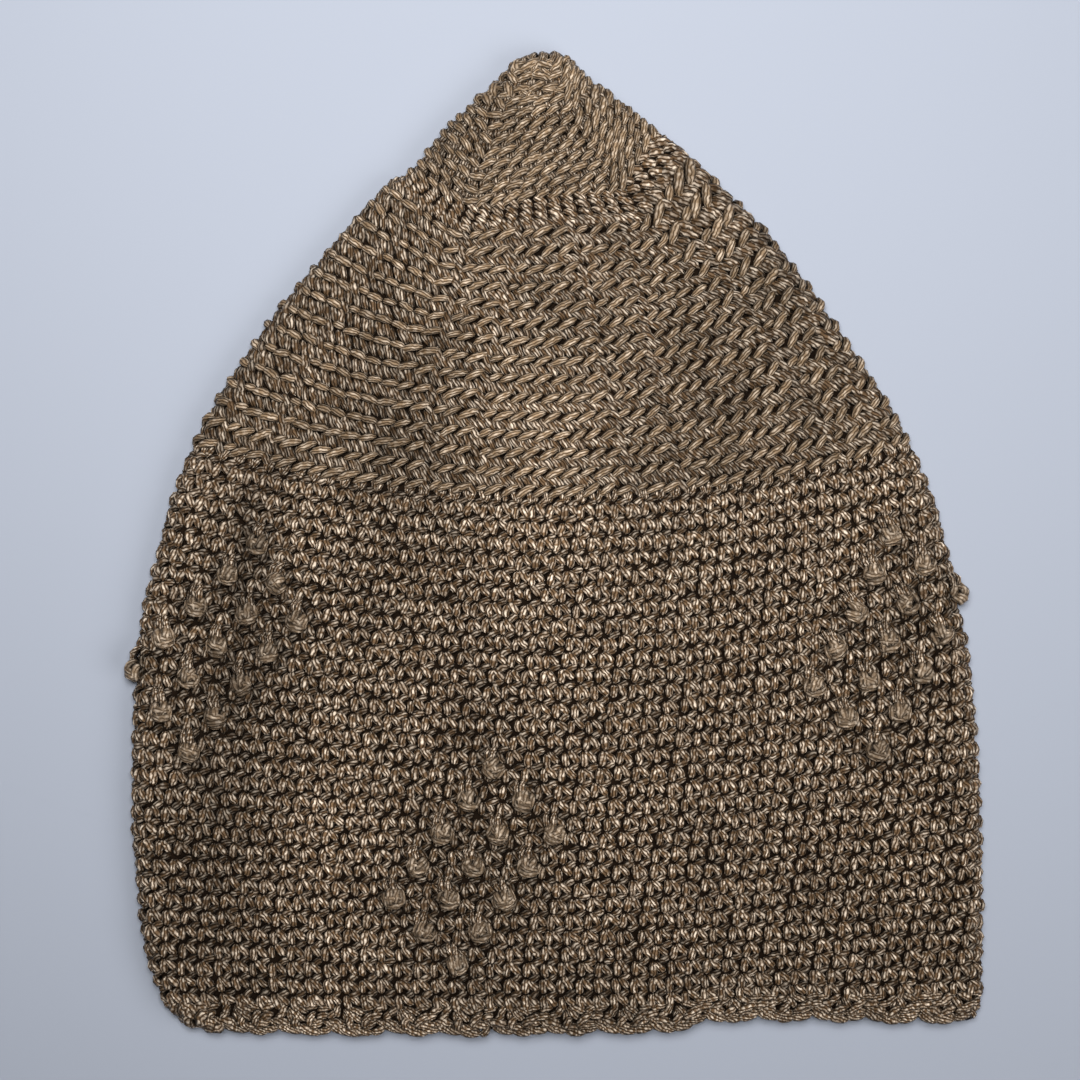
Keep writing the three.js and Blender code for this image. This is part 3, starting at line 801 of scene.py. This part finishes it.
crown_along, crown_share, crown_pitch, starts = crown_places()
starts = starts > 0
crown_front = in_view(crown_share)
sloped = smooth_step((crown_along - SLOPED_FROM) / SLOPED_OVER)
crown_left = left_of_corner(crown_along, crown_share) * sloped
crown_turn = CROWN_LEFT_TURN * crown_left
leg_stretch = crown_pitch / LOOP_PITCH
loop_stretch = leg_stretch * (1 - CROWN_LEFT_SHORTER * crown_left)
last_share = UPPER_MIDDLE + (np.arange(LAST_ROUND_STITCHES) + 0.5) / LAST_ROUND_STITCHES
last_along = np.full(LAST_ROUND_STITCHES, RIDGE_START)
for name, chosen, detail in (("front", crown_front, FINE), ("back", ~crown_front, COARSE)):
    whole, part = chosen & ~starts, chosen & starts
    loops = [
        lay(crown_along[picked], crown_share[picked], strand, **detail,
            stretch=loop_stretch[picked], turn=crown_turn[picked], lay_length=LOOP_LAY)
        for picked, strand in ((whole, RIDGE_LOOP), (part, HALF_LOOP))
    ]
    make_piece(f"crown_ridges_{name}", loops, slack_yarn, "ridged_crown")
    legs = [
        lay(crown_along[picked], crown_share[picked], strand, **detail,
            stretch=leg_stretch[picked], shade=LEG_SHADE, lay_length=LEG_LAY)
        for picked, strand in (*((chosen, leg) for leg in CROWN_LEGS), (part, SECTOR_LEG))
    ]
    last = in_view(last_share) == (name == "front")
    legs += [lay(last_along[last], last_share[last], strand, **detail) for strand in LAST_LEGS]
    make_piece(f"crown_legs_{name}", legs, yarn, "ridged_crown")


# %% [markdown]
# ## The tall round and the tip
# One round of tall stitches sits between the crown and the tip. Each is a column of four turns of
# yarn that lean to the right, with a dark gap beside it. Above it the tip is worked in close rounds,
# again with free loops, so its ridges nearly touch.

# %% Tall stitches
TALL_PITCH, TALL_WOBBLE, TALL_LAY = 4.6, 0.6, 2.0
TALL_STRANDS = (
    (-1.95, 8.6, 1.65, 6.3, 0.15, 0.25, 1.5, 1.20, 0.5),
    (-1.95, 6.5, 1.65, 4.2, 0.15, 0.30, 1.5, 1.22, 0.5),
    (-1.95, 4.4, 1.65, 2.1, 0.15, 0.30, 1.5, 1.22, 0.5),
    (-1.95, 2.3, 1.65, 0.0, 0.15, 0.25, 1.5, 1.20, 0.5),
)
tall_count = int(round(float(girth(TALL_START)) / TALL_PITCH))
tall_share = np.arange(tall_count) / tall_count
tall_along = np.full(tall_count, TALL_START)
parts = [
    lay(tall_along, tall_share, strand, wobble=TALL_WOBBLE, lay_length=TALL_LAY)
    for strand in TALL_STRANDS
]
make_piece("tall_stitches", parts, yarn, "tall_round")


# %% Tip rounds
TIP_ROUNDS, TIP_PITCH = 12, 4.25
TIP_LOOP = (-2.5, -1.55, 2.5, 1.45, 0.2, 0.80, 1.3, 1.27, 0.56)
TIP_LEGS = (
    (-1.9, 3.1, -0.6, 0.3, 0.0, -0.20, 1.3, 1.15, 0.5),
    (0.3, 3.1, 1.6, 0.3, 0.0, -0.20, 1.3, 1.15, 0.5),
)
# The tip's legs, between the loops, are painted darker, as shade.
TIP_LAY, TIP_LEG_SHADE, TIP_LEFT_TURN, TIP_LEFT_SHORTER = 2.2, 0.30, -0.85, 0.2
LOOSE_FROM, LOOSE_OVER, LOOSE_TURN = 262.0, 10.0, 0.5
END_STRANDS, END_WIDTH, END_REACH, END_BACK = 12, 12.5, 1.3, 4.0
END_FROM, END_UNTIL, END_POINTS, END_RADIUS = -0.4, math.pi + 0.3, 9, 1.1
END_LEAN, END_CHANCE, END_LAY = 1.2, 0.35, 1.6
KNOTS, KNOT_BACK, KNOT_REACH, KNOT_SPREAD = 26, 2.4, 11.0, 0.22
KNOT_STRAND = (-1.9, 0.0, 1.9, 0.0, 0.35, 0.75, 1.5, 1.02, 0.5)


def tip_places():
    """Fabric place and pitch of every stitch in the tip's rounds, each round turned by chance."""
    rows = []
    height = (CAP_END - TIP_START) / TIP_ROUNDS
    for k in range(TIP_ROUNDS):
        along = TIP_START + (k + 0.25) * height
        length = float(girth(along))
        count = max(int(round(length / TIP_PITCH)), 6)
        share = (np.arange(count) + draw.uniform(0, 1)) / count
        rows.append(np.stack([np.full(count, along), share, np.full(count, length / count)]))
    return np.concatenate(rows, axis=1)


def end_strands():
    """Strands over the cap's blunt end, side by side: each runs from the upper wall round the end to
    the lower wall, on half an ellipse through the two places. The middle ones reach further."""
    place = np.linspace(-1, 1, END_STRANDS)
    along = np.full(END_STRANDS, CAP_END - END_BACK)
    swing = END_WIDTH / 2 * place / girth(along)
    level = np.zeros(END_STRANDS)
    upper = on_cap(along, UPPER_MIDDLE + swing, level, 1.0)[0]
    lower = on_cap(along, UPPER_MIDDLE + 0.5 - swing, level, 1.0)[0]
    angle = np.linspace(END_FROM, END_UNTIL, END_POINTS)[None, :, None]
    lean = np.zeros((END_STRANDS, 1, 3))
    lean[:, 0, 0] = draw.normal(0, END_LEAN, END_STRANDS)
    middle, half = (upper + lower)[:, None] / 2, (upper - lower)[:, None] / 2
    ahead = np.zeros((END_STRANDS, 1, 3))
    reach = END_BACK - 1 + END_REACH * (1 - place ** 4)
    ahead[:, 0, 1] = reach + draw.normal(0, END_CHANCE, END_STRANDS)
    path = middle + half * np.cos(angle) + ahead * np.sin(angle) + lean * np.cos(angle)
    facing = half * np.cos(angle) + ahead * np.sin(angle)
    return sweep(path, facing, np.full(path.shape[:2], END_RADIUS), lay_length=END_LAY)


def end_knots():
    """Short strands that lie at random near the cap's end, where the first rounds are cramped."""
    along = CAP_END - KNOT_BACK - KNOT_REACH * draw.uniform(0, 1, KNOTS) ** 1.5
    share = UPPER_MIDDLE + draw.uniform(-KNOT_SPREAD, KNOT_SPREAD, KNOTS)
    return lay(along, share, KNOT_STRAND, turn=draw.uniform(0, math.pi, KNOTS), lay_length=END_LAY)


tip_along, tip_share, tip_pitch = tip_places()
tip_left = left_of_corner(tip_along, tip_share)
tip_turn = TIP_LEFT_TURN * tip_left
loose = smooth_step((tip_along - LOOSE_FROM) / LOOSE_OVER)
tip_turn = tip_turn + loose * draw.normal(0, LOOSE_TURN, len(tip_along))
stretch = tip_pitch / TIP_PITCH * (1 - TIP_LEFT_SHORTER * tip_left)
parts = [
    lay(tip_along, tip_share, TIP_LOOP, stretch=stretch, turn=tip_turn, lay_length=TIP_LAY),
    end_strands(),
    end_knots(),
]
make_piece("tip_loops", parts, slack_yarn, "crown_tip")
with_legs = tip_along < CAP_END - END_BACK
parts = [
    lay(tip_along[with_legs], tip_share[with_legs], strand, stretch=stretch[with_legs], shade=TIP_LEG_SHADE)
    for strand in TIP_LEGS
]
make_piece("tip_legs", parts, yarn, "crown_tip")


# %% [markdown]
# ## Bobbles
# A bobble is several tall stitches worked into one place and drawn together, so it stands up as a
# small ball of strands under a few long ones, in a hollow of the fabric that it draws in. Each ball
# here is seven arcs: four run down over it and three curve across its lower part like a U. Two
# leading strands come down into it from the round above.

# %% Bobble strands
KNOB_SIZE, KNOB_RAISED, KNOB_TAPER, KNOB_LAY = (2.5, 2.45, 2.7), 0.9, 0.4, 1.6
BOBBLE_TURN, LEAD_TURN, TURN_CHANCE, TIP_CHANCE = 0.35, 0.6, 0.16, 0.1
OFFSET_CHANCE, MOST_OFFSET, ANGLE_CHANCE, SIZE_CHANCE = 0.06, 0.93, 0.1, 0.03
# Each arc has its turn, tip, offset, start, end and radius, with its angles in degrees.
KNOB_STRANDS = (
    (180, -12, 0.70, 25, 160, 1.25),
    (0, -12, 0.70, 25, 160, 1.25),
    (8, 0, -0.22, 15, 120, 1.30),
    (-10, 0, 0.24, 10, 115, 1.30),
    (-92, -14, 0.72, 15, 170, 1.25),
    (-84, -20, 0.30, 15, 160, 1.30),
    (-98, -4, -0.12, 30, 150, 1.20),
)
BOBBLE_LEADS = (
    (-2.0, 5.6, -0.9, 1.8, -0.3, 1.9, 2.3, 1.05, 0.6),
    (-0.1, 6.1, 0.8, 1.4, -0.3, 2.4, 2.7, 1.12, 0.6),
)


def knob_strands(turn, tip, offset, start, end, thickness, points=8):
    """One arc over each bobble. An arc is a circle cut from a ball by a plane: its axis is turned in
    the fabric and tipped out of it, and the plane is offset along the axis. The ball is then
    stretched to the bobble's half sizes, and the frame of the fabric there turns it into space."""
    n = len(bobble_along)
    centre, normal = on_cap(bobble_along, bobble_share, np.full(n, KNOB_RAISED), 1.0)
    ahead = blend(upward, bobble_along, bobble_share)
    ahead -= (ahead * normal).sum(axis=1, keepdims=True) * normal
    ahead /= np.linalg.norm(ahead, axis=1, keepdims=True)
    basis = np.stack([np.cross(ahead, normal), ahead, normal], 1)
    a = np.radians(turn) + bobble_turn + draw.normal(0, TURN_CHANCE, n)
    b = np.radians(tip) + draw.normal(0, TIP_CHANCE, n)
    axis = np.stack([np.cos(a) * np.cos(b), np.sin(a) * np.cos(b), np.sin(b)], -1)
    run = np.stack([-np.sin(a), np.cos(a), np.zeros(n)], -1)
    rise = np.cross(axis, run)
    h = np.clip(offset + draw.normal(0, OFFSET_CHANCE, n), -MOST_OFFSET, MOST_OFFSET)[:, None, None]
    angle = np.radians(np.linspace(start, end, points))[None, :, None]
    angle = angle + draw.normal(0, ANGLE_CHANCE, (n, 1, 1))
    circle = run[:, None] * np.cos(angle) + rise[:, None] * np.sin(angle)
    ball = axis[:, None] * h + np.sqrt(1 - h ** 2) * circle
    size = 1 + draw.normal(0, SIZE_CHANCE, (n, 1, 1))
    path = centre[:, None] + np.einsum("npk,nkc->npc", ball * size * KNOB_SIZE, basis)
    facing = np.einsum("npk,nkc->npc", ball, basis)
    t = np.linspace(-1, 1, points)
    radius = thickness * (1 - KNOB_TAPER * t ** 4) * size[..., 0]
    return sweep(path, facing, radius, lay_length=KNOB_LAY)


bobble_turn = draw.normal(0, BOBBLE_TURN, len(bobble_along))
make_piece("bobbles", [knob_strands(*row) for row in KNOB_STRANDS], knob_yarn, "bobbled_body")
lead_turn = bobble_turn * LEAD_TURN
parts = [lay(bobble_along, bobble_share, strand, turn=lead_turn) for strand in BOBBLE_LEADS]
make_piece("bobble_leads", parts, yarn, "bobbled_body")


# %% [markdown]
# ## The scalloped edging
# The edging is a round of small shells. A cord runs along each shell's edge, the strands above it
# come together in the shell's lowest part, and a long strand climbs to the next shell.

# %% Edging strands
SCALLOPS, SCALLOP_START, SCALLOP_WIDTH = 30, 0.175, 15.3
EDGING_STRANDS = (
    (-8.4, 2.7, -2.4, 1.05, -0.3, -0.05, 0.5, 1.25, 0.5),
    (-3.6, 1.15, 2.1, 0.95, -0.2, 0.0, 0.5, 1.25, 0.5),
    (1.0, 0.95, 7.6, 2.5, -0.3, -0.05, 0.5, 1.22, 0.5),
    (-2.0, 2.0, 1.7, 4.9, 0.2, 0.9, 1.5, 1.28, 0.5),
    (2.0, 2.5, 8.2, 6.4, 0.3, 1.15, 1.9, 1.30, 0.5),
    (-5.9, 3.7, -2.4, 3.3, 0.4, 0.40, 1.3, 1.42, 0.5),
    (-7.9, 4.8, -4.4, 5.9, 0.3, 0.40, 1.3, 1.30, 0.5),
    (-4.2, 4.8, -1.4, 6.2, 0.1, 0.25, 1.3, 1.25, 0.5),
    (-2.1, 5.4, 0.6, 8.2, 0.1, 0.55, 1.4, 1.20, 0.5),
    (1.2, 7.2, 3.5, 4.2, 0.1, 0.50, 1.4, 1.20, 0.5),
    (2.6, 8.0, 6.4, 6.3, 0.2, 0.50, 1.4, 1.22, 0.5),
    (-5.9, 6.8, -1.8, 8.4, 0.2, 0.45, 1.4, 1.20, 0.5),
    (6.6, 7.1, 10.3, 8.5, 0.2, 0.50, 1.4, 1.22, 0.5),
    (3.6, 4.2, 6.4, 3.6, 0.0, -0.3, 1.0, 1.15, 0.5),
    (-8.0, 3.9, -3.2, 2.4, 0.0, -0.25, 0.7, 1.30, 0.5),
    (-3.6, 2.5, 1.8, 2.2, 0.0, -0.20, 0.7, 1.30, 0.5),
    (1.4, 2.2, 7.6, 3.8, 0.0, -0.25, 0.7, 1.30, 0.5),
    (-0.4, 3.6, 0.6, 6.4, 0.0, -0.3, 1.0, 1.10, 0.5),
)
scallop_share = SCALLOP_START + np.arange(SCALLOPS) / SCALLOPS
scallop_along = np.zeros(SCALLOPS)
scallop_pitch = girth(scallop_along) / SCALLOPS
scallop_stretch = scallop_pitch / SCALLOP_WIDTH
parts = [lay(scallop_along, scallop_share, strand, stretch=scallop_stretch) for strand in EDGING_STRANDS]
make_piece("edging_fans", parts, yarn, "scalloped_edging")


# %% [markdown]
# ## Floor, light and camera
# The floor is a plain pale blue-grey sheet. A broad lamp high above the cap's point gives most of
# the light, a lower one at the right brings out the furrows, and a weak sky fills the rest. The
# camera looks straight down, and its frame is as wide as the photo's, at the height of the cap's
# outline.

# %% Floor
FLOOR_SIZE = 3.0
FLOOR_SURFACE = {"Base Color": (0.385, 0.425, 0.515, 1), "Roughness": 0.7}


def make_floor():
    """A flat square sheet at the height that the cap lies on."""
    mesh = bpy.data.meshes.new("floor")
    half = FLOOR_SIZE / 2
    corners = [(-half, -half, 0), (half, -half, 0), (half, half, 0), (-half, half, 0)]
    mesh.from_pydata(corners, [], [(0, 1, 2, 3)])
    mesh.materials.append(new_material("pale_floor", FLOOR_SURFACE)[0])
    floor = bpy.data.objects.new("floor", mesh)
    bpy.context.scene.collection.objects.link(floor)


make_floor()


# %% Light
LAMP_WHITE, SKY_WHITE, SKY_STRENGTH = (1.0, 0.985, 0.96), (1.0, 0.98, 0.96, 1), 0.05


def add_lamp(name, place, target, size, power, spread):
    """A round area lamp at a place in metres, that faces a target and fans its light out by the
    spread angle in degrees, like a softbox with a grid."""
    data = bpy.data.lights.new(name, "AREA")
    data.shape = "DISK"
    data.size = size
    data.energy = power
    data.color = LAMP_WHITE
    data.spread = math.radians(spread)
    lamp = bpy.data.objects.new(name, data)
    lamp.location = place
    lamp.rotation_euler = (Vector(target) - lamp.location).to_track_quat("-Z", "Y").to_euler()
    bpy.context.scene.collection.objects.link(lamp)


add_lamp("overhead", place=(-0.03, 0.25, 1.30), target=(-0.03, 0.25, 0), size=0.50, power=2.65, spread=60)
add_lamp("window", place=(0.67, -0.31, 0.88), target=(0, 0, 0), size=0.90, power=2.6, spread=120)
world = bpy.data.worlds.new("studio")
world.use_nodes = True
sky = world.node_tree.nodes["Background"]
sky.inputs["Color"].default_value = SKY_WHITE
sky.inputs["Strength"].default_value = SKY_STRENGTH
bpy.context.scene.world = world
bpy.context.scene.view_settings.view_transform = "Standard"

# %% Camera
PHOTO_SIZE, MM_PER_PIXEL = 1080, 0.2834
CENTRE_PIXEL = (540, 540)
MIDDLE_PIXEL_X, MOUTH_PIXEL_Y = 554.5, 1033
OUTLINE_HEIGHT, CAMERA_HEIGHT = 0.0046, 1.1
frame_width = PHOTO_SIZE * MM_PER_PIXEL * MM
camera_data = bpy.data.cameras.new("camera")
camera_data.lens = camera_data.sensor_width * (CAMERA_HEIGHT - OUTLINE_HEIGHT) / frame_width
camera = bpy.data.objects.new("camera", camera_data)
camera.location = (
    (CENTRE_PIXEL[0] - MIDDLE_PIXEL_X) * MM_PER_PIXEL * MM + shift_x,
    (MOUTH_PIXEL_Y - CENTRE_PIXEL[1]) * MM_PER_PIXEL * MM + shift_y,
    CAMERA_HEIGHT,
)
bpy.context.scene.collection.objects.link(camera)
bpy.context.scene.camera = camera
print("lens", round(camera_data.lens, 1))
